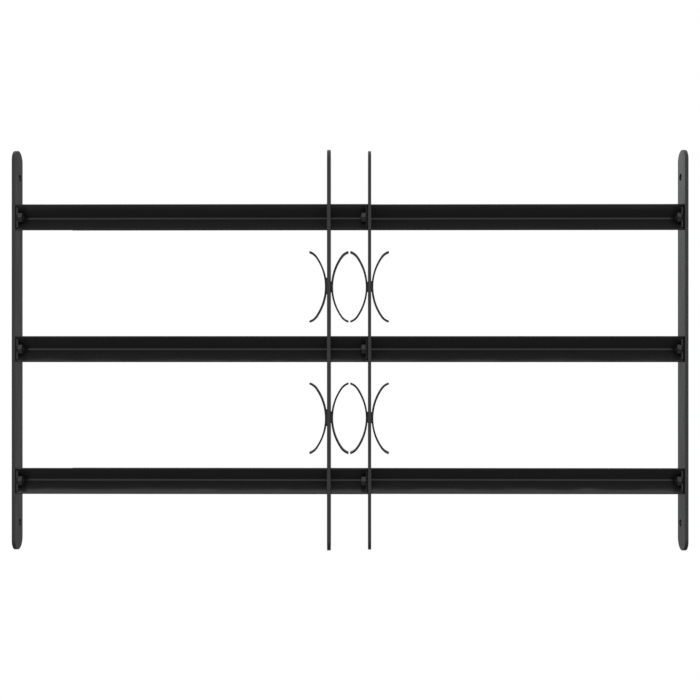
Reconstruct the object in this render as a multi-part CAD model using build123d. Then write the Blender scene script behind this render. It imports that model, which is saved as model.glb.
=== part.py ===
from build123d import *

import math
import os

# Width-adjustable window grille: two halves of V-section crossbars that nest and slide, a flat bar
# at each end for the window reveal, and a pair of uprights with bent bows where the halves overlap.
# Millimetres. +X runs along the width, +Y goes from the street side to the room side, +Z is up.
# The origin is the centre of the grille at the width it is shown, and the street side faces -Y.

# ---- Overall sizes ----
SHOWN_WIDTH = 763.0  # outer face to outer face of the wall flats, as the model rests
CLOSED_WIDTH = 700.0  # the least width of the adjustment
OPEN_WIDTH = 1050.0  # the greatest width of the adjustment
HEIGHT = 455.0  # length of each wall flat
BAR_PITCH = 149.0  # centre to centre of the crossbars, which leaves gaps of just under 120
BAR_RAISE = 1.2  # the middle crossbar is this much above the middle of the wall flats

# ---- Wall flats ----
FLAT_DEPTH = 25.0  # across Y
FLAT_THICKNESS = 4.0  # along X
SCREW_HOLE = 8.0  # diameter, for the screws into the reveal
SCREW_HOLE_FROM_END = 30.5
SCREW_HOLE_FROM_BACK = 9.25

# ---- Crossbars, an equal angle with its hollow side to the street ----
ANGLE_LEG = 21.0  # outside width of a leg
ANGLE_THICKNESS = 1.5
ANGLE_BEND = 2.0  # inner radius of the fold
NEST_GAP = 0.35  # between the faces of a front bar and the rear bar behind it
CLOSED_GAP = 1.0  # free end of a rear bar to the left wall flat, fully closed
OPEN_OVERLAP = 1.5  # free end of a rear bar past the guide upright, fully open

# ---- Uprights ----
UPRIGHT_DEPTH = 25.0
GUIDE_THICKNESS = 4.0
END_THICKNESS = 3.5
END_SHORTER = 2.5  # the end upright is this much shorter than the rest
END_DROP = 0.2  # and is centred this much lower
UPRIGHT_SPACING = 46.0  # centre to centre
UPRIGHT_LEAD = 3.0  # how far the uprights stand in front of the wall flats
RUN_CLEARANCE = 0.35  # slot edge to a sliding rear bar
FIT_CLEARANCE = 0.15  # slot edge to a welded front bar

# ---- Bows, bent flat strip ----
BOW_HEIGHT = 80.8  # over the outside, tip to tip
TIP_GAP = 1.5  # between the tips of the two bows that face each other
BOW_THICKNESS = 2.0
BOW_DEPTH = 14.0
BOW_DROP = 3.9  # below the middle of the gap between two bars
BOW_TIP_ANGLE = 17.0  # a tip's direction off the horizontal
BOW_BLEND_ANGLE = 35.0  # where the slack middle arc gives way to the tight end arcs
BOW_WELD_GAP = 0.5  # weld metal between the back of a bow and its upright
BOW_WELD_HEIGHT = 12.0
BOW_WELD_DEPTH = 12.0

# ---- End tabs and their fasteners ----
TAB_THICKNESS = 2.5
TAB_SETBACK = 0.8  # behind the front edges of its bar
STUD_DIAMETER = 6.0
STUD_OVERHANG = 1.0  # past the nut
STUD_POINT = 0.6  # chamfer at the free end
COLLAR_MARGIN = 0.6  # the weld collar stands this much outside the stud
COLLAR_LENGTH = 0.8
COLLAR_CLEARANCE = 0.4  # tab hole to the collar
NUT_ACROSS_FLATS = 10.0
NUT_HEIGHT = 5.0
NUT_CHAMFER = 0.6
NUT_CLEARANCE = 0.78  # nut to the inner faces of its bar
THREAD_GAP = 0.05  # radial, between the stud and the plain bore of its nut

# ---- Weld beads that hold the front bars in the guide upright ----
BEAD_LEG = 1.6
BEAD_LENGTH = 7.0

# ---- Places worked out from the sizes ----
DEPTH = FLAT_DEPTH + UPRIGHT_LEAD
FLAT_FRONT = -DEPTH / 2 + UPRIGHT_LEAD
UPRIGHT_FRONT = -DEPTH / 2
LEFT_INNER = -SHOWN_WIDTH / 2 + FLAT_THICKNESS
RIGHT_INNER = SHOWN_WIDTH / 2 - FLAT_THICKNESS
REAR_FREE_END = LEFT_INNER + CLOSED_GAP + SHOWN_WIDTH - CLOSED_WIDTH
GUIDE_LEFT = LEFT_INNER + CLOSED_GAP + OPEN_WIDTH - CLOSED_WIDTH + OPEN_OVERLAP
GUIDE_RIGHT = GUIDE_LEFT + GUIDE_THICKNESS
GUIDE_X = (GUIDE_LEFT + GUIDE_RIGHT) / 2
END_X = GUIDE_X + UPRIGHT_SPACING
END_LEFT = END_X - END_THICKNESS / 2
END_RIGHT = END_X + END_THICKNESS / 2
BOW_REACH = (END_LEFT - GUIDE_RIGHT - TIP_GAP) / 2 - BOW_WELD_GAP  # back of the bend to the tips
ROOT_2 = math.sqrt(2.0)
NEST_SHIFT = (ANGLE_THICKNESS + NEST_GAP) * ROOT_2  # rear bars sit this much further back
FRONT_APEX = FLAT_FRONT + (ANGLE_LEG + ANGLE_THICKNESS) / ROOT_2  # sharp outer corner of a front bar
REAR_APEX = FRONT_APEX + NEST_SHIFT
LEVELS = {"top": BAR_RAISE + BAR_PITCH, "middle": BAR_RAISE, "bottom": BAR_RAISE - BAR_PITCH}
BOW_OFFSET = BAR_RAISE - BOW_DROP
BAYS = {"upper": BOW_OFFSET + BAR_PITCH / 2, "lower": BOW_OFFSET - BAR_PITCH / 2}


def angle_profile(apex, leg, thickness, inner_radius, outer_radius, level):
    """Face of an equal angle in the YZ plane, opening towards -Y, with its sharp corner at apex."""
    reach = leg / ROOT_2
    skin = thickness / ROOT_2
    corners = [
        (apex, 0),
        (apex - reach, reach),
        (apex - reach - skin, reach - skin),
        (apex - thickness * ROOT_2, 0),
        (apex - reach - skin, skin - reach),
        (apex - reach, -reach),
    ]
    outline = [(y, z + level) for y, z in corners]
    face = Plane.YZ * make_face(Polyline(*outline, close=True))
    level_corners = [v for v in face.vertices() if abs(v.Z - level) < 0.001]
    inner, outer = sorted(level_corners, key=lambda v: v.Y)
    face = fillet(outer, outer_radius)
    inner = [v for v in face.vertices() if abs(v.Y - inner.Y) < 0.001 and abs(v.Z - level) < 0.001]
    return fillet(inner, inner_radius)


def along_x(face, start, end):
    """Solid of a face in the YZ plane, from start to end along X."""
    return Pos(start, 0, 0) * extrude(face, end - start, dir=(1, 0, 0))


def crossbar(apex, start, end, level):
    """V-section crossbar at a level, with its hollow side to the street."""
    outer_radius = ANGLE_BEND + ANGLE_THICKNESS
    face = angle_profile(apex, ANGLE_LEG, ANGLE_THICKNESS, ANGLE_BEND, outer_radius, level)
    return along_x(face, start, end)


def round_ended_flat(centre_x, thickness, front, depth, height, centre_z):
    """Flat bar on edge with full-round ends, across X by its thickness."""
    face = Plane.YZ * Pos(front + depth / 2, centre_z) * Rot(0, 0, 90) * SlotOverall(height, depth)
    return along_x(face, centre_x - thickness / 2, centre_x + thickness / 2)


def wall_flat(centre_x):
    """Flat bar that is screwed to the window reveal through a hole near each end."""
    flat = round_ended_flat(centre_x, FLAT_THICKNESS, FLAT_FRONT, FLAT_DEPTH, HEIGHT, 0)
    hole_y = FLAT_FRONT + FLAT_DEPTH - SCREW_HOLE_FROM_BACK
    hole_z = HEIGHT / 2 - SCREW_HOLE_FROM_END
    for side in (-1, 1):
        drill = Cylinder(SCREW_HOLE / 2, FLAT_THICKNESS * 2)
        flat -= Pos(centre_x, hole_y, side * hole_z) * Rot(0, 90, 0) * drill
    return flat


def guide_slot(level):
    """Chevron slot for a welded front bar and the rear bar that slides behind it."""
    apex = REAR_APEX + RUN_CLEARANCE * ROOT_2
    widening = NEST_SHIFT / ROOT_2 + RUN_CLEARANCE + FIT_CLEARANCE
    leg = ANGLE_LEG + widening
    thickness = ANGLE_THICKNESS + widening
    inner_radius = ANGLE_BEND - FIT_CLEARANCE
    outer_radius = ANGLE_BEND + ANGLE_THICKNESS + RUN_CLEARANCE
    return angle_profile(apex, leg, thickness, inner_radius, outer_radius, level)


def end_slot(level):
    """Chevron slot for a sliding rear bar alone."""
    apex = REAR_APEX + RUN_CLEARANCE * ROOT_2
    leg = ANGLE_LEG + 2 * RUN_CLEARANCE
    thickness = ANGLE_THICKNESS + 2 * RUN_CLEARANCE
    inner_radius = ANGLE_BEND - RUN_CLEARANCE
    outer_radius = ANGLE_BEND + ANGLE_THICKNESS + RUN_CLEARANCE
    return angle_profile(apex, leg, thickness, inner_radius, outer_radius, level)


def upright(centre_x, thickness, height, centre_z, slot):
    """Upright with one chevron slot for each crossbar."""
    flat = round_ended_flat(centre_x, thickness, UPRIGHT_FRONT, UPRIGHT_DEPTH, height, centre_z)
    for level in LEVELS.values():
        flat -= along_x(slot(level), centre_x - thickness, centre_x + thickness)
    return flat


def bow_radii():
    """Mid-line radii of a bow's middle and end arcs, from its height, reach and angles."""
    blend = math.radians(BOW_BLEND_ANGLE)
    last = math.radians(90 - BOW_TIP_ANGLE)
    half = BOW_THICKNESS / 2
    across = BOW_REACH - half - half * math.cos(last)
    along = BOW_HEIGHT / 2 - half * math.sin(last)
    # across = middle * (1 - cos blend) + end * (cos blend - cos last)
    # along = middle * sin blend + end * (sin last - sin blend)
    a = 1 - math.cos(blend)
    b = math.cos(blend) - math.cos(last)
    c = math.sin(blend)
    d = math.sin(last) - math.sin(blend)
    det = a * d - b * c
    return (across * d - b * along) / det, (a * along - c * across) / det


def bow(face_x, side, centre_z):
    """Strip bent to a long bow, its back to the upright at face_x and its tips away from it."""
    middle, end = bow_radii()
    back = face_x + side * (BOW_WELD_GAP + BOW_THICKNESS / 2)
    blend = math.radians(BOW_BLEND_ANGLE)
    last = math.radians(90 - BOW_TIP_ANGLE)
    # centres of the arcs, as distances away from the upright and up from the middle
    far_centre = (middle, 0.0)
    near_centre = (middle - (middle - end) * math.cos(blend), (middle - end) * math.sin(blend))

    def point(centre, radius, angle, half):
        away = centre[0] - radius * math.cos(angle)
        up = half * (centre[1] + radius * math.sin(angle))
        return (back + side * away, centre_z + up)

    def rail(offset):
        """Outline on one side of the mid-line, from the lower tip to the upper."""
        big, small = middle + offset, end + offset
        mean = (blend + last) / 2
        joints = [
            point(near_centre, small, last, -1),
            point(near_centre, small, mean, -1),
            point(near_centre, small, blend, -1),
            point(far_centre, big, 0, 1),
            point(near_centre, small, blend, 1),
            point(near_centre, small, mean, 1),
            point(near_centre, small, last, 1),
        ]
        return joints

    outer, inner = rail(BOW_THICKNESS / 2), rail(-BOW_THICKNESS / 2)
    edges = [Line(outer[0], inner[0]), Line(outer[-1], inner[-1])]
    for joints in (outer, inner):
        for first in (0, 2, 4):
            edges.append(ThreePointArc(*joints[first : first + 3]))
    face = Plane.XZ * make_face(edges)
    middle_y = UPRIGHT_FRONT + UPRIGHT_DEPTH / 2
    strip = extrude(face, BOW_DEPTH / 2, both=True)
    return Pos(0, middle_y, 0) * strip


def bow_weld(face_x, side, centre_z):
    """Weld metal between the back of a bow and the face of its upright."""
    middle_y = UPRIGHT_FRONT + UPRIGHT_DEPTH / 2
    block = Box(BOW_WELD_GAP, BOW_WELD_DEPTH, BOW_WELD_HEIGHT)
    return Pos(face_x + side * BOW_WELD_GAP / 2, middle_y, centre_z) * block


def end_tab(apex, face_x, side, level):
    """Plate that closes the hollow of a bar at its end and takes the stud; side points inward."""
    inner_apex = apex - ANGLE_THICKNESS * ROOT_2
    front_edge = bar_front(apex) + TAB_SETBACK
    back_edge = inner_apex - ANGLE_BEND / ROOT_2 - FIT_CLEARANCE
    corners = [
        (front_edge, inner_apex - front_edge),
        (back_edge, inner_apex - back_edge),
        (back_edge, back_edge - inner_apex),
        (front_edge, front_edge - inner_apex),
    ]
    outline = [(y, z + level) for y, z in corners]
    face = Plane.YZ * make_face(Polyline(*outline, close=True))
    plate = along_x(face, *sorted((face_x, face_x + side * TAB_THICKNESS)))
    hole_radius = STUD_DIAMETER / 2 + COLLAR_MARGIN + COLLAR_CLEARANCE
    drill = Cylinder(hole_radius, TAB_THICKNESS * 4)
    return plate - Pos(face_x, stud_y(apex), level) * Rot(0, 90, 0) * drill


def bar_front(apex):
    """Y of the front edges of a bar."""
    return apex - (ANGLE_LEG + ANGLE_THICKNESS) / ROOT_2


def stud_y(apex):
    """Y of the stud axis at the end of a bar, where its nut just clears both legs."""
    nut_reach = NUT_ACROSS_FLATS / math.sqrt(3) * math.cos(math.radians(15))
    return apex - ANGLE_THICKNESS * ROOT_2 - (nut_reach + NUT_CLEARANCE) * ROOT_2


def weld_stud(apex, face_x, side, level):
    """Threaded stud that is butt-welded to the face at face_x and points to side."""
    on_base = (Align.CENTER, Align.CENTER, Align.MIN)
    length = TAB_THICKNESS + NUT_HEIGHT + STUD_OVERHANG
    shank = Cylinder(STUD_DIAMETER / 2, length, align=on_base)
    shank = chamfer(shank.edges().sort_by(Axis.Z)[-1], STUD_POINT)
    collar = Cylinder(STUD_DIAMETER / 2 + COLLAR_MARGIN, COLLAR_LENGTH, align=on_base)
    return Pos(face_x, stud_y(apex), level) * Rot(0, side * 90, 0) * (shank + collar)


def hex_nut(apex, face_x, side, level):
    """Nut on a stud, seated on the end tab, with a corner to the street."""
    seat = face_x + side * TAB_THICKNESS
    corner_radius = NUT_ACROSS_FLATS / math.sqrt(3)
    prism = extrude(RegularPolygon(corner_radius, 6), NUT_HEIGHT)
    blank = Cylinder(corner_radius, NUT_HEIGHT, align=(Align.CENTER, Align.CENTER, Align.MIN))
    blank = chamfer(blank.edges().filter_by(GeomType.CIRCLE), NUT_CHAMFER)
    bore = Cylinder(STUD_DIAMETER / 2 + THREAD_GAP, NUT_HEIGHT * 4)
    nut = (prism & blank) - bore
    return Pos(seat, stud_y(apex), level) * Rot(0, side * 90, 0) * Rot(0, 0, 90) * nut


def weld_bead(face_x, side, leg_side, level):
    """Fillet bead in the corner of a front bar's inner face and the guide upright."""
    outline = Polyline((0, 0), (side * BEAD_LEG, 0), (0, BEAD_LEG), close=True)
    bead = extrude(Plane.XZ * make_face(outline), BEAD_LENGTH / 2, both=True)
    # the bead lies along a leg, half way between the fold and the front edge
    inner_apex = FRONT_APEX - ANGLE_THICKNESS * ROOT_2
    run = ANGLE_LEG / 2 / ROOT_2
    place = Pos(face_x, inner_apex - run, level + leg_side * run)
    return place * Rot(90 + 45 * leg_side, 0, 0) * bead


def save(name, *solids):
    """Writes one node, which is one piece or a group of like pieces."""
    shape = solids[0] if len(solids) == 1 else Compound(children=list(solids))
    export_step(shape, f"parts/{name}.step")


def main():
    """Builds every piece of both halves and writes it in place."""
    os.makedirs("parts", exist_ok=True)
    save("left_wall_flat", wall_flat(-SHOWN_WIDTH / 2 + FLAT_THICKNESS / 2))
    save("right_wall_flat", wall_flat(SHOWN_WIDTH / 2 - FLAT_THICKNESS / 2))
    save("guide_upright", upright(GUIDE_X, GUIDE_THICKNESS, HEIGHT, 0, guide_slot))
    end_height = HEIGHT - END_SHORTER
    save("end_upright", upright(END_X, END_THICKNESS, end_height, -END_DROP, end_slot))

    # name of the joint, apex of its bar, face it stands on, and the way the stud points
    stations = {
        "left": (FRONT_APEX, LEFT_INNER, 1),
        "centre": (FRONT_APEX, END_LEFT, -1),
        "right": (REAR_APEX, RIGHT_INNER, -1),
    }
    for level_name, level in LEVELS.items():
        save(f"front_bar_{level_name}", crossbar(FRONT_APEX, LEFT_INNER, END_LEFT, level))
        save(f"rear_bar_{level_name}", crossbar(REAR_APEX, REAR_FREE_END, RIGHT_INNER, level))
        for station, (apex, face_x, side) in stations.items():
            save(f"{station}_tab_{level_name}", end_tab(apex, face_x, side, level))
            save(f"{station}_stud_{level_name}", weld_stud(apex, face_x, side, level))
            save(f"{station}_nut_{level_name}", hex_nut(apex, face_x, side, level))

    backs = {
        "guide_left": (GUIDE_LEFT, -1),
        "guide_right": (GUIDE_RIGHT, 1),
        "end_left": (END_LEFT, -1),
        "end_right": (END_RIGHT, 1),
    }
    for back_name, (face_x, side) in backs.items():
        for bay_name, centre_z in BAYS.items():
            save(f"bow_{back_name}_{bay_name}", bow(face_x, side, centre_z))
    for upright_name in ("guide", "end"):
        welds = [
            bow_weld(*backs[f"{upright_name}_{hand}"], centre_z)
            for hand in ("left", "right")
            for centre_z in BAYS.values()
        ]
        save(f"{upright_name}_bow_welds", *welds)

    beads = [
        weld_bead(face_x, side, leg_side, level)
        for face_x, side in (backs["guide_left"], backs["guide_right"])
        for leg_side in (-1, 1)
        for level in LEVELS.values()
    ]
    save("guide_welds", *beads)


main()
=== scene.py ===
"""Width-adjustable window grille: its visible pieces, their finishes and a plain studio.

Metres, in the frame of the CAD model. Places are read from its nodes, and the sizes that a
node's box can't give are fields of the classes.
"""

import logging
import math
from contextlib import contextmanager
from dataclasses import dataclass, field
from enum import Enum
from typing import Callable, Iterator

import bmesh
import bpy
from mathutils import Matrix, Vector


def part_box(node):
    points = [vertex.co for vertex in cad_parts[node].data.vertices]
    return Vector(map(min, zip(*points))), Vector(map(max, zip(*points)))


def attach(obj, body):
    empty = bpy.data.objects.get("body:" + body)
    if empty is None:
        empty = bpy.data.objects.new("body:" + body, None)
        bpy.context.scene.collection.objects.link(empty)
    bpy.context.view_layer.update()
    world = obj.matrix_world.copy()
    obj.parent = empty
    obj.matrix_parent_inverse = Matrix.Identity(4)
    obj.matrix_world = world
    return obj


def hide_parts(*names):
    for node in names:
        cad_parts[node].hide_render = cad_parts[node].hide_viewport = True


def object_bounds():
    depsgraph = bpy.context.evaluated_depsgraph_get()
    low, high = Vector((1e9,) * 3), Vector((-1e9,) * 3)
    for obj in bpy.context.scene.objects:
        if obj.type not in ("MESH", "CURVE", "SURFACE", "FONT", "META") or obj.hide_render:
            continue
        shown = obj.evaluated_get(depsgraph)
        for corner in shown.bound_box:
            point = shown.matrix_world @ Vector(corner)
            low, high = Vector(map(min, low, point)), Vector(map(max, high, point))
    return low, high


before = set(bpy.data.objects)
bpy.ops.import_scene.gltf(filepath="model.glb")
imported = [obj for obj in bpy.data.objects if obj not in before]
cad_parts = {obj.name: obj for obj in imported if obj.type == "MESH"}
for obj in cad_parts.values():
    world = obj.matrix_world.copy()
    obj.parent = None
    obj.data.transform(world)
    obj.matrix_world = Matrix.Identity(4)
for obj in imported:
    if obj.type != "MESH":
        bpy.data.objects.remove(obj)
CAD_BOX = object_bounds()

LOG = logging.getLogger("grille")
MM = 0.001
MERGE = 0.01 * MM  # points nearer than this are one point
SAME = 1e-6  # places nearer than this are level with each other
Z_TO_X = (0, math.pi / 2, 0)  # turns a round shape's axis from Z to X

Piece = bpy.types.Object
Point = tuple[float, float, float]


class Body(Enum):
    """The two halves that slide in each other."""

    FIXED = "fixed_half"
    SLIDING = "sliding_half"


class Slot(Enum):
    """Names of the material slots."""

    STEEL = "coated_steel"
    FASTENER = "coated_fastener"
    WELD = "coated_weld"


class Level(Enum):
    """The three crossbars."""

    TOP = "top"
    MIDDLE = "middle"
    BOTTOM = "bottom"


class Bay(Enum):
    """The two gaps between crossbars."""

    UPPER = "upper"
    LOWER = "lower"


# ---------------------------------------------------------------- workbench


def deselect() -> None:
    """Leaves object mode with nothing selected."""
    if bpy.context.mode != "OBJECT":
        bpy.ops.object.mode_set(mode="OBJECT")
    bpy.ops.object.select_all(action="DESELECT")


def activate(piece: Piece) -> None:
    """Makes a piece the only selected and active one."""
    deselect()
    piece.select_set(True)
    bpy.context.view_layer.objects.active = piece


def started(name: str) -> Piece:
    """Names the primitive that was just added and settles its place in its mesh."""
    piece = bpy.context.active_object
    piece.name = name
    piece.data.name = name
    settle(piece)
    return piece


def settle(piece: Piece) -> None:
    """Moves a piece's place, turn and scale into its mesh."""
    activate(piece)
    bpy.ops.object.transform_apply(location=True, rotation=True, scale=True)


@contextmanager
def editing(piece: Piece, mode: str = "VERT") -> Iterator[None]:
    """Edit mode on one piece, with nothing selected at the start.

    Args:
        piece: The piece to shape.
        mode: The selection mode, VERT, EDGE or FACE.
    """
    activate(piece)
    bpy.ops.object.mode_set(mode="EDIT")
    bpy.ops.mesh.select_mode(type=mode)
    bpy.ops.mesh.select_all(action="DESELECT")
    yield
    bpy.ops.object.mode_set(mode="OBJECT")


def pick_points(piece: Piece, wanted: Callable[[Vector], bool]) -> None:
    """Selects the points whose place is wanted."""
    bpy.ops.mesh.select_all(action="DESELECT")
    mesh = bmesh.from_edit_mesh(piece.data)
    for point in mesh.verts:
        if wanted(point.co):
            point.select_set(True)
    mesh.select_flush_mode()
    bmesh.update_edit_mesh(piece.data)


def pick_edges(piece: Piece, wanted: Callable[[Vector, Vector], bool]) -> None:
    """Selects the edges whose two ends are wanted."""
    bpy.ops.mesh.select_all(action="DESELECT")
    mesh = bmesh.from_edit_mesh(piece.data)
    for edge in mesh.edges:
        if wanted(edge.verts[0].co, edge.verts[1].co):
            edge.select_set(True)
    bmesh.update_edit_mesh(piece.data)


def pick_faces(piece: Piece, wanted: Callable[[Vector, Vector], bool]) -> None:
    """Selects the faces whose centre and normal are wanted."""
    bpy.ops.mesh.select_all(action="DESELECT")
    mesh = bmesh.from_edit_mesh(piece.data)
    for face in mesh.faces:
        if wanted(face.calc_center_median(), face.normal):
            face.select_set(True)
    bmesh.update_edit_mesh(piece.data)


def shift(step: Point) -> None:
    """Moves what is selected in edit mode."""
    bpy.ops.transform.translate(value=step)


def finish_modifier(piece: Piece, kind: str, **settings: object) -> None:
    """Adds a modifier with its settings and applies it.

    Args:
        piece: The piece to change.
        kind: The modifier's type.
        settings: Values for the modifier's own properties.
    """
    activate(piece)
    modifier = piece.modifiers.new(kind.title(), kind)
    for key, value in settings.items():
        setattr(modifier, key, value)
    bpy.ops.object.modifier_apply(modifier=modifier.name)


def cut(piece: Piece, tool: Piece, operation: str = "DIFFERENCE") -> None:
    """Cuts a piece with a tool and throws the tool away.

    Args:
        piece: The piece to cut.
        tool: A closed shape.
        operation: DIFFERENCE, INTERSECT or UNION.
    """
    finish_modifier(piece, "BOOLEAN", object=tool, operation=operation, solver="EXACT")
    bpy.data.objects.remove(tool)


def soften(piece: Piece, width: float, segments: int = 3, sharp: float = 30.0) -> None:
    """Rounds every sharp edge and shades the piece.

    Args:
        piece: The piece to soften.
        width: Width of the rounding.
        segments: Steps across it.
        sharp: Least angle of an edge that is rounded, in degrees.
    """
    finish_modifier(
        piece,
        "BEVEL",
        width=width,
        segments=segments,
        limit_method="ANGLE",
        angle_limit=math.radians(sharp),
        use_clamp_overlap=True,
    )
    activate(piece)
    bpy.ops.object.shade_smooth_by_angle(angle=math.radians(sharp))
    finish_modifier(piece, "WEIGHTED_NORMAL", keep_sharp=True)


def copy_of(pattern: Piece, name: str, place: Vector, turned: bool = False) -> Piece:
    """Copies a pattern piece, with a mesh of its own.

    Args:
        pattern: The piece to copy, modelled about the origin and pointing along +X.
        name: The copy's name.
        place: Where its origin goes.
        turned: Whether it points along -X.

    Returns:
        The copy, settled in its place.
    """
    activate(pattern)
    bpy.ops.object.duplicate(linked=False)
    piece = bpy.context.active_object
    piece.location = place
    piece.rotation_euler = (0.0, 0.0, math.pi if turned else 0.0)
    return started(name)


def drill(axis_point: Point, radius: float, length: float) -> Piece:
    """Round cutter along X."""
    bpy.ops.mesh.primitive_cylinder_add(
        vertices=48, radius=radius, depth=length, location=axis_point, rotation=Z_TO_X
    )
    return started("drill")


def corners(node: str) -> list[Vector]:
    """Places of a CAD node's points."""
    solid = bpy.data.objects[node]
    return [solid.matrix_world @ point.co for point in solid.data.vertices]


def middle(node: str) -> Vector:
    """Centre of a CAD node's box."""
    low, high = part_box(node)
    return (low + high) / 2


# ----------------------------------------------------------------- finishes


@dataclass(frozen=True)
class PowderCoat:
    """Baked powder coat: near-black, semi-gloss, with orange peel and a slow waviness.

    Lengths are in metres. Unless it is given otherwise, a wave is longest along X, as on rolled sheet.
    """

    name: str
    deep: Point
    pale: Point
    gloss_low: float
    gloss_high: float
    peel_size: float = 1.5 * MM
    peel_depth: float = 0.006 * MM
    wave_size: Point = (45 * MM, 14 * MM, 30 * MM)
    wave_depth: float = 0.5 * MM
    grain_size: float = 0.35 * MM
    sheen: float = 0.5
    grain_span: tuple[float, float] = (0.35, 0.7)
    peel_span: tuple[float, float] = (0.3, 0.7)

    def material(self) -> bpy.types.Material:
        """Builds the finish.

        Returns:
            A material whose patterns follow Object coordinates.
        """
        made = bpy.data.materials.new(self.name)
        made.use_nodes = True
        tree = made.node_tree
        shader = tree.nodes["Principled BSDF"]
        waves = self.noise(tree, self.wave_size, 1.0)
        peel = self.noise(tree, (self.peel_size,) * 3, 1.0)
        grain = self.noise(tree, (self.grain_size,) * 3, 3.0)

        tint = tree.nodes.new("ShaderNodeValToRGB")
        tint.color_ramp.elements[0].position = self.grain_span[0]
        tint.color_ramp.elements[0].color = (*self.deep, 1.0)
        tint.color_ramp.elements[1].position = self.grain_span[1]
        tint.color_ramp.elements[1].color = (*self.pale, 1.0)
        tree.links.new(grain, tint.inputs["Fac"])
        tree.links.new(tint.outputs["Color"], shader.inputs["Base Color"])

        shader.inputs["Specular IOR Level"].default_value = self.sheen
        gloss = tree.nodes.new("ShaderNodeMapRange")
        gloss.inputs["From Min"].default_value = self.peel_span[0]
        gloss.inputs["From Max"].default_value = self.peel_span[1]
        gloss.inputs["To Min"].default_value = self.gloss_low
        gloss.inputs["To Max"].default_value = self.gloss_high
        tree.links.new(peel, gloss.inputs["Value"])
        tree.links.new(gloss.outputs["Result"], shader.inputs["Roughness"])

        slow = self.bump(tree, waves, self.wave_depth, None)
        fine = self.bump(tree, peel, self.peel_depth, slow)
        tree.links.new(fine, shader.inputs["Normal"])
        return made

    @staticmethod
    def noise(tree: bpy.types.NodeTree, size: Point, detail: float) -> bpy.types.NodeSocket:
        """Noise in Object coordinates, whose bumps are about size across on each axis."""
        place = tree.nodes.new("ShaderNodeTexCoord")
        stretch = tree.nodes.new("ShaderNodeMapping")
        stretch.inputs["Scale"].default_value = [1.0 / width for width in size]
        texture = tree.nodes.new("ShaderNodeTexNoise")
        texture.inputs["Scale"].default_value = 1.0
        texture.inputs["Detail"].default_value = detail
        texture.inputs["Roughness"].default_value = 0.5
        tree.links.new(place.outputs["Object"], stretch.inputs["Vector"])
        tree.links.new(stretch.outputs["Vector"], texture.inputs["Vector"])
        return texture.outputs["Fac"]

    @staticmethod
    def bump(
        tree: bpy.types.NodeTree,
        height: bpy.types.NodeSocket,
        depth: float,
        below: bpy.types.NodeSocket | None,
    ) -> bpy.types.NodeSocket:
        """Bump of a given depth over the one below it."""
        node = tree.nodes.new("ShaderNodeBump")
        node.inputs["Strength"].default_value = 1.0
        node.inputs["Distance"].default_value = depth
        tree.links.new(height, node.inputs["Height"])
        if below is not None:
            tree.links.new(below, node.inputs["Normal"])
        return node.outputs["Normal"]


class Finish(Enum):
    """The coats of the visible pieces. The bows' strip is darker and duller than the sheet."""

    SHEET = PowderCoat("black_powder_coat", (0.0155, 0.0155, 0.016), (0.0205, 0.0205, 0.0211), 0.15, 0.21)
    STRIP = PowderCoat(
        "black_strip_coat", (0.009, 0.009, 0.0093), (0.0125, 0.0125, 0.0129), 0.2, 0.28,
        wave_size=(12 * MM,) * 3, wave_depth=0.05 * MM, sheen=0.3,
    )
    FASTENER = PowderCoat(
        "black_coated_fastener", (0.015, 0.015, 0.0155), (0.022, 0.022, 0.0227), 0.22, 0.32,
        peel_size=0.8 * MM, peel_depth=0.006 * MM, wave_size=(6 * MM,) * 3, wave_depth=0.02 * MM,
    )
    WELD = PowderCoat(
        "powder_coated_weld", (0.012, 0.012, 0.0124), (0.018, 0.018, 0.0186), 0.24, 0.36,
        peel_size=0.9 * MM, peel_depth=0.03 * MM, wave_size=(5 * MM,) * 3, wave_depth=0.06 * MM,
    )


@dataclass
class Paintshop:
    """Dresses pieces in the finishes and hangs them on their bodies."""

    materials: dict[Finish, bpy.types.Material] = field(default_factory=dict)

    def __post_init__(self) -> None:
        """Mixes each finish once."""
        for finish in Finish:
            self.materials[finish] = finish.value.material()

    def hand_over(self, piece: Piece, finish: Finish, body: Body, node: str) -> None:
        """Finishes a piece and puts it in place of its CAD node.

        Args:
            piece: The finished mesh.
            finish: Its coat.
            body: The half that it moves with.
            node: The CAD node that it stands for.
        """
        piece.data.materials.clear()
        piece.data.materials.append(self.materials[finish])
        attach(piece, body.value)
        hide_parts(node)
        LOG.info("%s: %d faces on %s", piece.name, len(piece.data.polygons), body.value)


# ------------------------------------------------------------- sub-assemblies


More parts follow.
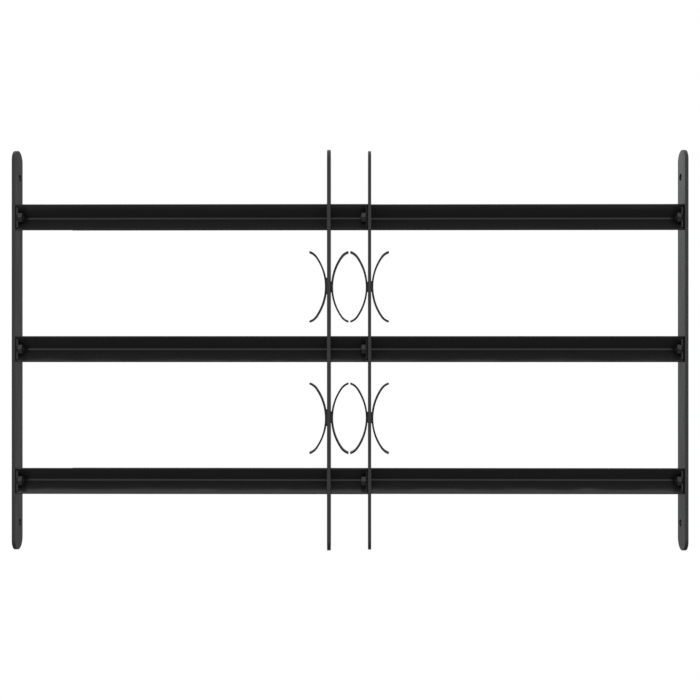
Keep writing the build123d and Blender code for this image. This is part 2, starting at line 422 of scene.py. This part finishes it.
@dataclass
class FlatWork:
    """Wall flats and uprights: flat bar on edge with full-round ends."""

    shop: Paintshop
    edge: float = 0.25 * MM
    screw_radius: float = 4.0 * MM
    screw_spacing: float = 394.0 * MM
    screw_y: float = 4.75 * MM
    drill_length: float = 12 * MM
    round_steps: int = 64

    def blank(self, node: str, name: str) -> Piece:
        """Flat bar with round ends, the size of a node.

        Args:
            node: The CAD node that it stands for.
            name: The piece's name.

        Returns:
            A closed flat bar in the node's place.
        """
        low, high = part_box(node)
        size, centre = high - low, (low + high) / 2
        radius, half = size.y / 2, size.z / 2
        bpy.ops.mesh.primitive_cylinder_add(
            vertices=self.round_steps,
            radius=radius,
            depth=size.x,
            location=(0, 0, half - radius),
            rotation=Z_TO_X,
        )
        flat = started(name)
        with editing(flat, "FACE"):
            bpy.ops.mesh.select_all(action="SELECT")
            bpy.ops.mesh.bisect(
                plane_co=(0, 0, half - radius), plane_no=(0, 0, 1), clear_inner=True, use_fill=True
            )
            pick_faces(flat, lambda centre, normal: normal.z < -0.9)
            bpy.ops.mesh.extrude_region_move(TRANSFORM_OT_translate={"value": (0, 0, radius - half)})
            bpy.ops.mesh.delete(type="FACE")
        finish_modifier(flat, "MIRROR", use_axis=(False, False, True), merge_threshold=MERGE)
        flat.location = centre
        settle(flat)
        return flat

    def wall_flat(self, node: str, name: str, body: Body) -> None:
        """Flat bar for the side of the window reveal, with its two screw holes."""
        flat = self.blank(node, name)
        for side in (-1, 1):
            axis_point = (middle(node).x, self.screw_y, side * self.screw_spacing / 2)
            cut(flat, drill(axis_point, self.screw_radius, self.drill_length))
        soften(flat, self.edge)
        self.shop.hand_over(flat, Finish.SHEET, body, node)

    def upright(self, node: str, name: str, slots: list[Piece]) -> None:
        """Upright with a chevron slot for each crossbar.

        Args:
            node: The CAD node that it stands for.
            name: The piece's name.
            slots: One cutter for each crossbar.
        """
        flat = self.blank(node, name)
        for slot in slots:
            cut(flat, slot)
        soften(flat, self.edge)
        self.shop.hand_over(flat, Finish.SHEET, Body.FIXED, node)

    def build(self, angles: "AngleWork") -> None:
        """Makes both wall flats and both uprights."""
        self.wall_flat("left_wall_flat", "wall_flat_left", Body.FIXED)
        self.wall_flat("right_wall_flat", "wall_flat_right", Body.SLIDING)
        for which, with_front in (("guide", True), ("end", False)):
            slots = [angles.slot_cutter(level, middle(f"{which}_upright").x, with_front) for level in Level]
            self.upright(f"{which}_upright", f"upright_{which}", slots)


@dataclass
class AngleWork:
    """Crossbars: sheet folded to a right angle, open to the street side."""

    shop: Paintshop
    sheet: float = 1.5 * MM
    fold_radius: float = 2.0 * MM
    edge: float = 0.3 * MM
    fold_steps: int = 8
    run_clearance: float = 0.35 * MM
    fit_clearance: float = 0.15 * MM
    cutter_reach: float = 5 * MM

    def folded(
        self, name: str, spans: tuple[float, float], front: Vector, sheet: float, radius: float
    ) -> Piece:
        """Angle with its inner face meeting its front edges.

        Args:
            name: The piece's name.
            spans: Where it starts and ends along X.
            front: Y of its front edges, Z of its fold, and half its inner height.
            sheet: Thickness.
            radius: Inner radius of the fold.

        Returns:
            A closed angle.
        """
        start, end = spans
        front_y, level, half = front
        bpy.ops.mesh.primitive_plane_add(
            size=1.0, location=((start + end) / 2, front_y, level), rotation=(math.pi / 2, 0, 0)
        )
        angle = bpy.context.active_object
        angle.scale = (end - start, 2 * half, 1)
        angle = started(name)
        with editing(angle, "EDGE"):
            bpy.ops.mesh.select_all(action="SELECT")
            bpy.ops.mesh.bisect(plane_co=(0, 0, level), plane_no=(0, 0, 1))
            pick_edges(angle, lambda a, b: abs(a.z - level) < SAME and abs(b.z - level) < SAME)
            shift((0, half, 0))
            bpy.ops.mesh.bevel(offset=radius, segments=self.fold_steps, affect="EDGES", profile=0.5)
        finish_modifier(angle, "SOLIDIFY", thickness=sheet, offset=-1.0, use_even_offset=True)
        return angle

    def crossbar(self, row: str, level: Level, body: Body) -> None:
        """One crossbar, front or rear."""
        node = f"{row}_bar_{level.value}"
        low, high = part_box(node)
        centre = (low.z + high.z) / 2
        half = (high.z - low.z) / 2 - self.sheet / math.sqrt(2)
        front = Vector((low.y, centre, half))
        name = f"crossbar_{row}_{level.value}"
        bar = self.folded(name, (low.x, high.x), front, self.sheet, self.fold_radius)
        soften(bar, self.edge)
        self.shop.hand_over(bar, Finish.SHEET, body, node)

    def slot_cutter(self, level: Level, centre_x: float, with_front: bool) -> Piece:
        """Cutter for a chevron slot, with running clearance round the rear bar.

        Args:
            level: The crossbar.
            centre_x: Middle of the upright.
            with_front: Whether the welded front bar goes through too.

        Returns:
            A closed cutter, longer than the upright is thick.
        """
        front_low, front_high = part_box(f"front_bar_{level.value}")
        rear_low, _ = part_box(f"rear_bar_{level.value}")
        half = (front_high.z - front_low.z) / 2 - self.sheet / math.sqrt(2)
        nest = (rear_low.y - front_low.y) / math.sqrt(2) if with_front else 0.0
        inside = self.fit_clearance if with_front else self.run_clearance
        thickness = self.sheet + nest + inside + self.run_clearance
        start_y = (front_low if with_front else rear_low).y
        # the inner face steps forward by the clearance, and the legs grow by it at their ends
        grow = inside * math.sqrt(2)
        front = Vector((start_y - grow, (front_low.z + front_high.z) / 2, half))
        cutter = self.folded(
            "slot_cutter",
            (centre_x - self.cutter_reach, centre_x + self.cutter_reach),
            front,
            thickness,
            self.fold_radius - inside,
        )
        if with_front:
            # the sliding bar's fold is tighter than the back of the wide slot
            cut(cutter, self.slot_cutter(level, centre_x, False), "UNION")
        return cutter

    def build(self) -> None:
        """Makes the six crossbars."""
        for level in Level:
            self.crossbar("front", level, Body.FIXED)
            self.crossbar("rear", level, Body.SLIDING)


@dataclass
class BowWork:
    """Bows: flat strip bent round by a slack arc and two tight ones."""

    shop: Paintshop
    strip: float = 2.0 * MM
    depth: float = 14.0 * MM
    edge: float = 0.35 * MM
    blend_angle: float = math.radians(35)
    last_angle: float = math.radians(73)
    slack_steps: int = 14
    tight_steps: int = 16
    bend_axis: Point = (0, -1, 0)

    def radii(self, reach: float, height: float) -> tuple[float, float]:
        """Mid-line radii of the slack and the tight arcs.

        Args:
            reach: From the back of the bend to the tips.
            height: Over the outside, tip to tip.

        Returns:
            The slack radius and the tight radius.
        """
        half = self.strip / 2
        across = reach - half - half * math.cos(self.last_angle)
        along = height / 2 - half * math.sin(self.last_angle)
        slack_across = 1 - math.cos(self.blend_angle)
        tight_across = math.cos(self.blend_angle) - math.cos(self.last_angle)
        slack_along = math.sin(self.blend_angle)
        tight_along = math.sin(self.last_angle) - math.sin(self.blend_angle)
        share = slack_across * tight_along - tight_across * slack_along
        slack = (across * tight_along - tight_across * along) / share
        tight = (slack_across * along - slack_along * across) / share
        return slack, tight

    def pattern(self, reach: float, height: float) -> Piece:
        """One bow about the origin, with the back of its bend at x = 0 and its tips towards +X."""
        slack, tight = self.radii(reach, height)
        back = self.strip / 2
        bpy.ops.mesh.primitive_plane_add(size=self.depth, location=(back - self.depth / 2, 0, 0))
        bow = started("bow_pattern")
        near = slack - tight
        tight_centre = (
            back + slack - near * math.cos(self.blend_angle),
            0,
            near * math.sin(self.blend_angle),
        )
        with editing(bow, "VERT"):
            pick_points(bow, lambda place: place.x < back - self.depth / 2)
            bpy.ops.mesh.delete(type="VERT")
            bpy.ops.mesh.select_all(action="SELECT")
            bpy.ops.mesh.spin(
                steps=self.slack_steps,
                angle=self.blend_angle,
                center=(back + slack, 0, 0),
                axis=self.bend_axis,
            )
            bpy.ops.mesh.spin(
                steps=self.tight_steps,
                angle=self.last_angle - self.blend_angle,
                center=tight_centre,
                axis=self.bend_axis,
            )
        finish_modifier(bow, "MIRROR", use_axis=(False, False, True), merge_threshold=MERGE)
        finish_modifier(bow, "SOLIDIFY", thickness=self.strip, offset=0.0, use_even_offset=True)
        with editing(bow, "FACE"):
            bpy.ops.mesh.select_all(action="SELECT")
            bpy.ops.mesh.normals_make_consistent(inside=False)
        soften(bow, self.edge)
        return bow

    def build(self) -> None:
        """Makes the eight bows from one pattern."""
        low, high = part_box("bow_guide_right_upper")
        pattern = self.pattern(high.x - low.x, high.z - low.z)
        for upright in ("guide", "end"):
            for hand in ("left", "right"):
                for bay in Bay:
                    node = f"bow_{upright}_{hand}_{bay.value}"
                    low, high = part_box(node)
                    centre = (low + high) / 2
                    back = high.x if hand == "left" else low.x
                    place = Vector((back, centre.y, centre.z))
                    bow = copy_of(pattern, f"strip_{node}", place, turned=hand == "left")
                    self.shop.hand_over(bow, Finish.STRIP, Body.FIXED, node)
        bpy.data.objects.remove(pattern)


@dataclass(frozen=True)
class BowWeld:
    """Where a bow is welded to its upright, and how long its two beads are."""

    hand: int
    bay: Bay
    front: float
    back: float


@dataclass
class Welds:
    """Weld beads, each a run of overlapping ripples."""

    shop: Paintshop
    ripple: float = 1.2 * MM
    bead_sides: int = 12
    bow_bead: float = 1.0 * MM
    groove_bead: float = 0.85 * MM
    steps_per_ripple: int = 4
    ripple_lead: float = 0.12
    trough: float = 0.84
    tip_width: float = 0.5
    tip_taper: float = 5.0
    bow_bead_out: float = 0.45 * MM
    bow_bead_rise: float = 0.04
    filler_inset: float = 1.2 * MM
    filler_edge: float = 0.1 * MM
    groove_bead_out: float = 0.4 * MM
    groove_bead_inset: float = 0.6
    bar_reach: float = 20 * MM
    lower_bay_trim: float = -0.8
    smooth_angle: float = math.radians(50)

    def bead(self, name: str, start: Vector, end: Vector, radius: float) -> Piece:
        """Rippled bead from start to end.

        Args:
            name: The piece's name.
            start: One end of its middle line.
            end: The other end.
            radius: Half its width.

        Returns:
            A closed bead with tapered ends.
        """
        run = end - start
        ripples = max(3, round(run.length / self.ripple))
        bpy.ops.mesh.primitive_cylinder_add(
            vertices=self.bead_sides, radius=radius, depth=run.length, location=(0, 0, 0)
        )
        bead = started(name)
        with editing(bead, "EDGE"):
            pick_edges(bead, lambda a, b: abs(a.z - b.z) > run.length / 2)
            bpy.ops.mesh.subdivide(number_cuts=self.steps_per_ripple * ripples - 1)
        for point in bead.data.vertices:
            along = point.co.z / run.length + 0.5
            lead = self.ripple_lead * point.co.y / radius
            wave = 0.5 + 0.5 * math.cos(math.tau * (ripples * along + lead))
            taper = min(1.0, self.tip_width + self.tip_taper * min(along, 1.0 - along))
            swell = (self.trough + (1.0 - self.trough) * wave) * taper
            point.co.x *= swell
            point.co.y *= swell
        bead.rotation_mode = "QUATERNION"
        bead.rotation_quaternion = run.to_track_quat("Z", "Y")
        bead.location = (start + end) / 2
        settle(bead)
        bpy.ops.object.shade_smooth_by_angle(angle=self.smooth_angle)
        return bead

    @staticmethod
    def joined(name: str, parts: list[Piece]) -> Piece:
        """Joins closed shapes to one piece.

        Args:
            name: The piece's name.
            parts: What to join.

        Returns:
            The joined piece.
        """
        deselect()
        for part in parts:
            part.select_set(True)
        bpy.context.view_layer.objects.active = parts[0]
        bpy.ops.object.join()
        return started(name)

    def bow_welds(self, upright: str, plan: tuple[BowWeld, ...]) -> None:
        """Beads up the front and back edges of the bows, and the metal drawn in between.

        Args:
            upright: guide or end.
            plan: One entry for each bow.
        """
        low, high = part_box(f"{upright}_upright")
        parts = []
        for weld in plan:
            hand = "left" if weld.hand < 0 else "right"
            bow_low, bow_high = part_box(f"bow_{upright}_{hand}_{weld.bay.value}")
            face = low.x if weld.hand < 0 else high.x
            back = bow_high.x if weld.hand < 0 else bow_low.x
            level = (bow_low.z + bow_high.z) / 2
            for y, length in ((bow_low.y, weld.front), (bow_high.y, weld.back)):
                x = (face + back) / 2 + weld.hand * self.bow_bead_out
                reach = Vector((0, 0, length / 2))
                middle_point = Vector((x, y, level + self.bow_bead_rise * length))
                parts.append(self.bead("bead", middle_point - reach, middle_point + reach, self.bow_bead))
            bpy.ops.mesh.primitive_cube_add(
                size=1.0, location=((face + back) / 2, (bow_low.y + bow_high.y) / 2, level)
            )
            filler = bpy.context.active_object
            depth = bow_high.y - bow_low.y - self.filler_inset
            filler.scale = (abs(back - face), depth, min(weld.front, weld.back))
            filler = started("filler")
            soften(filler, self.filler_edge, segments=2)
            parts.append(filler)
        piece = self.joined(f"weld_bows_{upright}", parts)
        self.shop.hand_over(piece, Finish.WELD, Body.FIXED, f"{upright}_bow_welds")

    def groove_welds(self) -> None:
        """Small beads in the hollows of the front bars, on both sides of the guide upright."""
        low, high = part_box("guide_upright")
        parts = []
        for level in Level:
            bar_low, bar_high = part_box(f"front_bar_{level.value}")
            centre = (bar_low.z + bar_high.z) / 2
            weld_low, weld_high = self.groove_span(centre)
            for x in (low.x - self.groove_bead_out, high.x + self.groove_bead_out):
                for side in (-1, 1):
                    outer = Vector((x, weld_low.y, centre + side * weld_high.z))
                    inner = Vector((x, weld_high.y, centre + side * weld_low.z))
                    parts.append(self.bead("bead", outer, inner, self.groove_bead))
        piece = self.joined("weld_grooves", parts)
        self.shop.hand_over(piece, Finish.WELD, Body.FIXED, "guide_welds")

    def groove_span(self, centre: float) -> tuple[Vector, Vector]:
        """Y and Z reach of the beads at one bar, with Z measured from the bar's level.

        Args:
            centre: The bar's level.

        Returns:
            The near and the far corner of the reach.
        """
        places = [
            Vector((0, corner.y, abs(corner.z - centre)))
            for corner in corners("guide_welds")
            if abs(corner.z - centre) < self.bar_reach
        ]
        low = Vector((0, min(place.y for place in places), min(place.z for place in places)))
        high = Vector((0, max(place.y for place in places), max(place.z for place in places)))
        step = self.groove_bead * self.groove_bead_inset
        inset = Vector((0, step, step))
        return low + inset, high - inset

    def build(self) -> None:
        """Makes every weld; no two of a welder's beads are quite as long."""
        lengths = {
            "guide": ((-1, 19.0, 17.0), (1, 11.0, 12.5)),
            "end": ((-1, 10.5, 12.0), (1, 12.0, 11.0)),
        }
        for upright, sides in lengths.items():
            plan = tuple(
                BowWeld(hand, bay, (front + trim) * MM, (back - trim) * MM)
                for bay, trim in ((Bay.UPPER, 0.0), (Bay.LOWER, self.lower_bay_trim))
                for hand, front, back in sides
            )
            self.bow_welds(upright, plan)
        self.groove_welds()


@dataclass
class Fasteners:
    """End tabs, weld studs and hexagon nuts, which fix the bars to the flats."""

    shop: Paintshop
    welds: Welds
    across_flats: float = 10.0 * MM
    nut_height: float = 5.0 * MM
    nut_crown: float = 0.5 * MM
    stud_radius: float = 3.0 * MM
    root_radius: float = 2.4 * MM
    pitch: float = 1.0 * MM
    collar_length: float = 0.8 * MM
    collar_radius: float = 3.6 * MM
    point: float = 0.6 * MM
    tab_hole: float = 4.0 * MM
    tab_chamfer: float = 1.1 * MM
    tab_bead: float = 0.75 * MM
    crown_taper: float = 0.84
    bore_clearance: float = 0.05 * MM
    nut_edge: float = 0.18 * MM
    tab_edge: float = 0.15 * MM
    spare_turns: int = 3
    thread_cuts: int = 4
    blank_margin: float = 1.05
    point_taper: float = 0.76
    collar_taper: float = 0.98
    bead_stand: float = 0.2 * MM
    bead_inset: float = 0.5 * MM
    bead_from_front: float = 1.0 * MM
    bead_past_axis: float = 0.4 * MM
    thread_smooth: float = math.radians(25)

    def nut_pattern(self) -> Piece:
        """Nut seated on x = 0 and pointing along +X, with a corner to the street."""
        corner = self.across_flats / math.sqrt(3)
        centre = (self.nut_height / 2, 0, 0)
        bpy.ops.mesh.primitive_cylinder_add(
            vertices=6, radius=corner, depth=self.nut_height, location=centre, rotation=Z_TO_X
        )
        nut = started("nut_pattern")
        turned_corner = max(point.co.y for point in nut.data.vertices)
        if turned_corner < corner - MERGE:
            nut.rotation_euler = (math.pi / 6, 0, 0)
            settle(nut)
        shoulder = self.nut_height - 2 * self.nut_crown
        bpy.ops.mesh.primitive_cylinder_add(
            vertices=72, radius=corner, depth=shoulder, location=centre, rotation=Z_TO_X
        )
        blank = started("nut_blank")
        with editing(blank, "FACE"):
            for side in (-1, 1):
                pick_faces(blank, lambda place, normal: normal.x * side > 0.9)
                bpy.ops.mesh.extrude_region_move(
                    TRANSFORM_OT_translate={"value": (side * self.nut_crown, 0, 0)}
                )
                bpy.ops.transform.resize(value=(1, self.crown_taper, self.crown_taper))
        cut(nut, blank, "INTERSECT")
        cut(nut, drill(centre, self.stud_radius + self.bore_clearance, 4 * self.nut_height))
        soften(nut, self.nut_edge, segments=2)
        return nut

    def stud_pattern(self, length: float) -> Piece:
        """Threaded stud from x = 0 along +X, with its weld collar at the root.

        Args:
            length: From the face that it is welded to, to its point.

        Returns:
            A closed stud.
        """
        start = -self.pitch
        bpy.ops.mesh.primitive_plane_add(size=self.pitch, location=(start / 2, self.root_radius, 0))
        stud = started("stud_pattern")
        turns = math.ceil(length / self.pitch) + self.spare_turns
        with editing(stud, "VERT"):
            pick_points(stud, lambda place: place.y > self.root_radius)
            bpy.ops.mesh.delete(type="VERT")
            bpy.ops.mesh.select_all(action="SELECT")
            bpy.ops.mesh.subdivide(number_cuts=self.thread_cuts)
            facet = self.pitch / (self.thread_cuts + 1)
            crest = (start + 1.5 * facet, start + 3.5 * facet)
            pick_points(stud, lambda place: crest[0] < place.x < crest[1])
            shift((0, self.stud_radius - self.root_radius, 0))
            bpy.ops.mesh.select_all(action="SELECT")
            shift((-self.pitch, self.pitch / 2, 0))
        finish_modifier(
            stud,
            "SCREW",
            axis="X",
            angle=math.tau,
            screw_offset=self.pitch,
            iterations=turns,
            steps=32,
            render_steps=32,
        )
        with editing(stud, "VERT"):
            bpy.ops.mesh.select_all(action="SELECT")
            bpy.ops.mesh.remove_doubles(threshold=0.002 * MM)
            for place, normal in ((self.collar_length / 4, 1), (length, -1)):
                bpy.ops.mesh.select_all(action="SELECT")
                bpy.ops.mesh.bisect(
                    plane_co=(place, 0, 0), plane_no=(normal, 0, 0), clear_inner=True, use_fill=True
                )
            bpy.ops.mesh.select_all(action="SELECT")
            bpy.ops.mesh.normals_make_consistent(inside=False)
        cut(stud, self.turned_point(length), "INTERSECT")
        cut(stud, self.collar(), "UNION")
        activate(stud)
        bpy.ops.object.shade_smooth_by_angle(angle=self.thread_smooth)
        return stud

    def turned_point(self, length: float) -> Piece:
        """Turned blank that gives the stud its chamfered end."""
        wide = self.stud_radius * self.blank_margin
        straight = length - self.point
        bpy.ops.mesh.primitive_cylinder_add(
            vertices=64, radius=wide, depth=straight, location=(straight / 2, 0, 0), rotation=Z_TO_X
        )
        blank = started("stud_blank")
        with editing(blank, "FACE"):
            pick_faces(blank, lambda centre, normal: normal.x > 0.9)
            bpy.ops.mesh.extrude_region_move(TRANSFORM_OT_translate={"value": (self.point, 0, 0)})
            bpy.ops.transform.resize(value=(1, self.point_taper, self.point_taper))
        return blank

    def collar(self) -> Piece:
        """Ring of weld metal at the root of the stud."""
        bpy.ops.mesh.primitive_cone_add(
            vertices=48,
            radius1=self.collar_radius,
            radius2=self.stud_radius * self.collar_taper,
            depth=self.collar_length,
            location=(self.collar_length / 2, 0, 0),
            rotation=Z_TO_X,
        )
        return started("collar")

    def tab(self, node: str, name: str, axis_y: float, turned: bool) -> Piece:
        """Plate that closes the hollow of a bar at its end, and the beads that hold it.

        Args:
            node: The CAD node that it stands for.
            name: The piece's name.
            axis_y: Y of the stud.
            turned: Whether the stud points along -X.

        Returns:
            The plate, wide at the front and narrow at the fold, with a bead down each leg.
        """
        low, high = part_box(node)
        size, centre = high - low, (low + high) / 2
        bpy.ops.mesh.primitive_cube_add(size=1.0, location=centre)
        bpy.context.active_object.scale = size
        plate = started("plate")
        with editing(plate, "VERT"):
            for side in (-1, 1):
                pick_points(plate, lambda place: place.y > centre.y and (place.z - centre.z) * side > 0)
                shift((0, 0, -side * size.y))
        soften(plate, self.tab_chamfer, segments=1)
        cut(plate, drill((centre.x, axis_y, centre.z), self.tab_hole, 4 * size.x))
        soften(plate, self.tab_edge, segments=2)
        parts = [plate]
        bead_x = low.x - self.bead_stand if turned else high.x + self.bead_stand
        for side in (-1, 1):
            ends = []
            for y in (low.y + self.bead_from_front, axis_y + self.bead_past_axis):
                leg = size.z / 2 - (y - low.y) - self.bead_inset
                ends.append(Vector((bead_x, y, centre.z + side * leg)))
            parts.append(self.welds.bead("bead", *ends, self.tab_bead))
        return self.welds.joined(name, parts)

    def build(self) -> None:
        """Makes a tab, a stud and a nut at each of the nine bar ends."""
        low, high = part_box("left_stud_top")
        nut, stud = self.nut_pattern(), self.stud_pattern(high.x - low.x)
        for station, body in (("left", Body.FIXED), ("centre", Body.FIXED), ("right", Body.SLIDING)):
            for level in Level:
                nodes = {kind: f"{station}_{kind}_{level.value}" for kind in ("tab", "stud", "nut")}
                turned = station != "left"
                stud_low, stud_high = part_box(nodes["stud"])
                nut_low, nut_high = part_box(nodes["nut"])
                axis = middle(nodes["stud"])
                root = Vector((stud_high.x if turned else stud_low.x, axis.y, axis.z))
                seat = Vector((nut_high.x if turned else nut_low.x, axis.y, axis.z))
                label = f"{station}_{level.value}"
                made = (
                    (self.tab(nodes["tab"], f"tab_{label}", axis.y, turned), Finish.SHEET, nodes["tab"]),
                    (copy_of(stud, f"stud_{label}", root, turned), Finish.FASTENER, nodes["stud"]),
                    (copy_of(nut, f"nut_{label}", seat, turned), Finish.FASTENER, nodes["nut"]),
                )
                for piece, finish, node in made:
                    self.shop.hand_over(piece, finish, body, node)
        bpy.data.objects.remove(nut)
        bpy.data.objects.remove(stud)


# ------------------------------------------------------------------- studio


@dataclass(frozen=True)
class Wall:
    """Brightness of one side of the studio by height, from straight down to straight up."""

    steps: tuple[tuple[float, float], ...]
    tint: Point = (1.0, 1.0, 1.0)

    def colour(self, tree: bpy.types.NodeTree, height: bpy.types.NodeSocket) -> bpy.types.NodeSocket:
        """Colour of the wall at a height that runs from 0 to 1."""
        node = tree.nodes.new("ShaderNodeValToRGB")
        ramp = node.color_ramp
        for position, value in self.steps[1:-1]:
            ramp.elements.new(position)
        for element, (position, value) in zip(ramp.elements, self.steps):
            element.position = position
            element.color = (*(value * part for part in self.tint), 1.0)
        tree.links.new(height, node.inputs["Fac"])
        return node.outputs["Color"]


@dataclass
class Studio:
    """White surround with soft light from all round, a pale floor and the camera."""

    distance: float = 1.1
    focal_length: float = 50.2
    sensor: float = 36.0
    turn: float = math.radians(0.45)
    aside: float = 0.9 * MM
    above: float = 0.2 * MM
    front: Wall = Wall(((0.0, 0.2), (0.3, 0.5), (0.4, 0.72), (0.6, 0.82), (1.0, 0.95)))
    back_left: Wall = Wall(
        ((0.0, 0.15), (0.42, 0.34), (0.5, 0.4), (0.56, 0.5), (0.6, 0.72), (1.0, 0.9)), (0.97, 1.0, 0.985)
    )
    back_right: Wall = Wall(((0.0, 0.15), (0.4, 0.27), (0.6, 0.27), (1.0, 0.8)))
    floor_size: float = 3.6
    floor_level: float = -1.4
    floor_tone: tuple[float, float, float, float] = (0.86, 0.86, 0.85, 1.0)

    def camera(self) -> None:
        """Level camera, straight in front but for a fraction of a degree."""
        low, high = CAD_BOX
        data = bpy.data.cameras.new("camera")
        data.lens = self.focal_length
        data.sensor_width = self.sensor
        data.clip_start, data.clip_end = 0.01, 100.0
        camera = bpy.data.objects.new("camera", data)
        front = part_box("left_wall_flat")[0].y
        away = self.distance * Vector((math.sin(self.turn), -math.cos(self.turn), 0))
        camera.location = Vector(((low.x + high.x) / 2 + self.aside, front, self.above)) + away
        camera.rotation_euler = (math.pi / 2, 0, self.turn)
        bpy.context.scene.collection.objects.link(camera)
        bpy.context.scene.camera = camera

    def floor(self) -> None:
        """Plain pale floor well below the grille, seen by the camera but left out of the light."""
        deselect()
        bpy.ops.mesh.primitive_plane_add(size=self.floor_size, location=(0, 0, self.floor_level))
        floor = started("floor")
        for unseen_by in ("visible_diffuse", "visible_glossy", "visible_shadow"):
            setattr(floor, unseen_by, False)
        paint = bpy.data.materials.new("pale_floor")
        paint.use_nodes = True
        shader = paint.node_tree.nodes["Principled BSDF"]
        shader.inputs["Base Color"].default_value = self.floor_tone
        shader.inputs["Roughness"].default_value = 0.8
        floor.data.materials.append(paint)

    def surround(self) -> None:
        """Light from all round, on a ground that is white to the camera."""
        world = bpy.data.worlds.new("surround")
        bpy.context.scene.world = world
        world.use_nodes = True
        tree = world.node_tree
        parts = tree.nodes.new("ShaderNodeSeparateXYZ")
        tree.links.new(tree.nodes.new("ShaderNodeTexCoord").outputs["Generated"], parts.inputs["Vector"])
        height = self.faded(tree, parts.outputs["Z"], 1.0)
        back = self.blended(
            tree,
            self.faded(tree, parts.outputs["X"], 0.2),
            self.back_left.colour(tree, height),
            self.back_right.colour(tree, height),
        )
        around = self.blended(
            tree, self.faded(tree, parts.outputs["Y"], 0.35), self.front.colour(tree, height), back
        )
        light = tree.nodes["Background"]
        tree.links.new(around, light.inputs["Color"])
        white = tree.nodes.new("ShaderNodeBackground")
        white.inputs["Color"].default_value = (1, 1, 1, 1)
        mix = tree.nodes.new("ShaderNodeMixShader")
        tree.links.new(tree.nodes.new("ShaderNodeLightPath").outputs["Is Camera Ray"], mix.inputs[0])
        tree.links.new(light.outputs["Background"], mix.inputs[1])
        tree.links.new(white.outputs["Background"], mix.inputs[2])
        tree.links.new(mix.outputs["Shader"], tree.nodes["World Output"].inputs["Surface"])

    @staticmethod
    def faded(tree: bpy.types.NodeTree, part: bpy.types.NodeSocket, width: float) -> bpy.types.NodeSocket:
        """Turns a run from -width to width into one from 0 to 1."""
        node = tree.nodes.new("ShaderNodeMapRange")
        node.inputs["From Min"].default_value = -width
        node.inputs["From Max"].default_value = width
        tree.links.new(part, node.inputs["Value"])
        return node.outputs["Result"]

    @staticmethod
    def blended(
        tree: bpy.types.NodeTree,
        share: bpy.types.NodeSocket,
        first: bpy.types.NodeSocket,
        second: bpy.types.NodeSocket,
    ) -> bpy.types.NodeSocket:
        """Mixes two colours by the share of the second."""
        node = tree.nodes.new("ShaderNodeMixRGB")
        tree.links.new(share, node.inputs["Fac"])
        tree.links.new(first, node.inputs["Color1"])
        tree.links.new(second, node.inputs["Color2"])
        return node.outputs["Color"]

    def build(self) -> None:
        """Sets up everything that isn't the grille."""
        self.camera()
        self.floor()
        self.surround()
        bpy.context.scene.view_settings.view_transform = "Standard"


def main() -> None:
    """Builds the studio and every piece of the grille."""
    logging.basicConfig(level=logging.INFO, format="%(name)s %(message)s")
    Studio().build()
    shop = Paintshop()
    angles = AngleWork(shop)
    angles.build()
    FlatWork(shop).build(angles)
    BowWork(shop).build()
    welds = Welds(shop)
    welds.build()
    Fasteners(shop, welds).build()


if __name__ == "__main__":
    main()
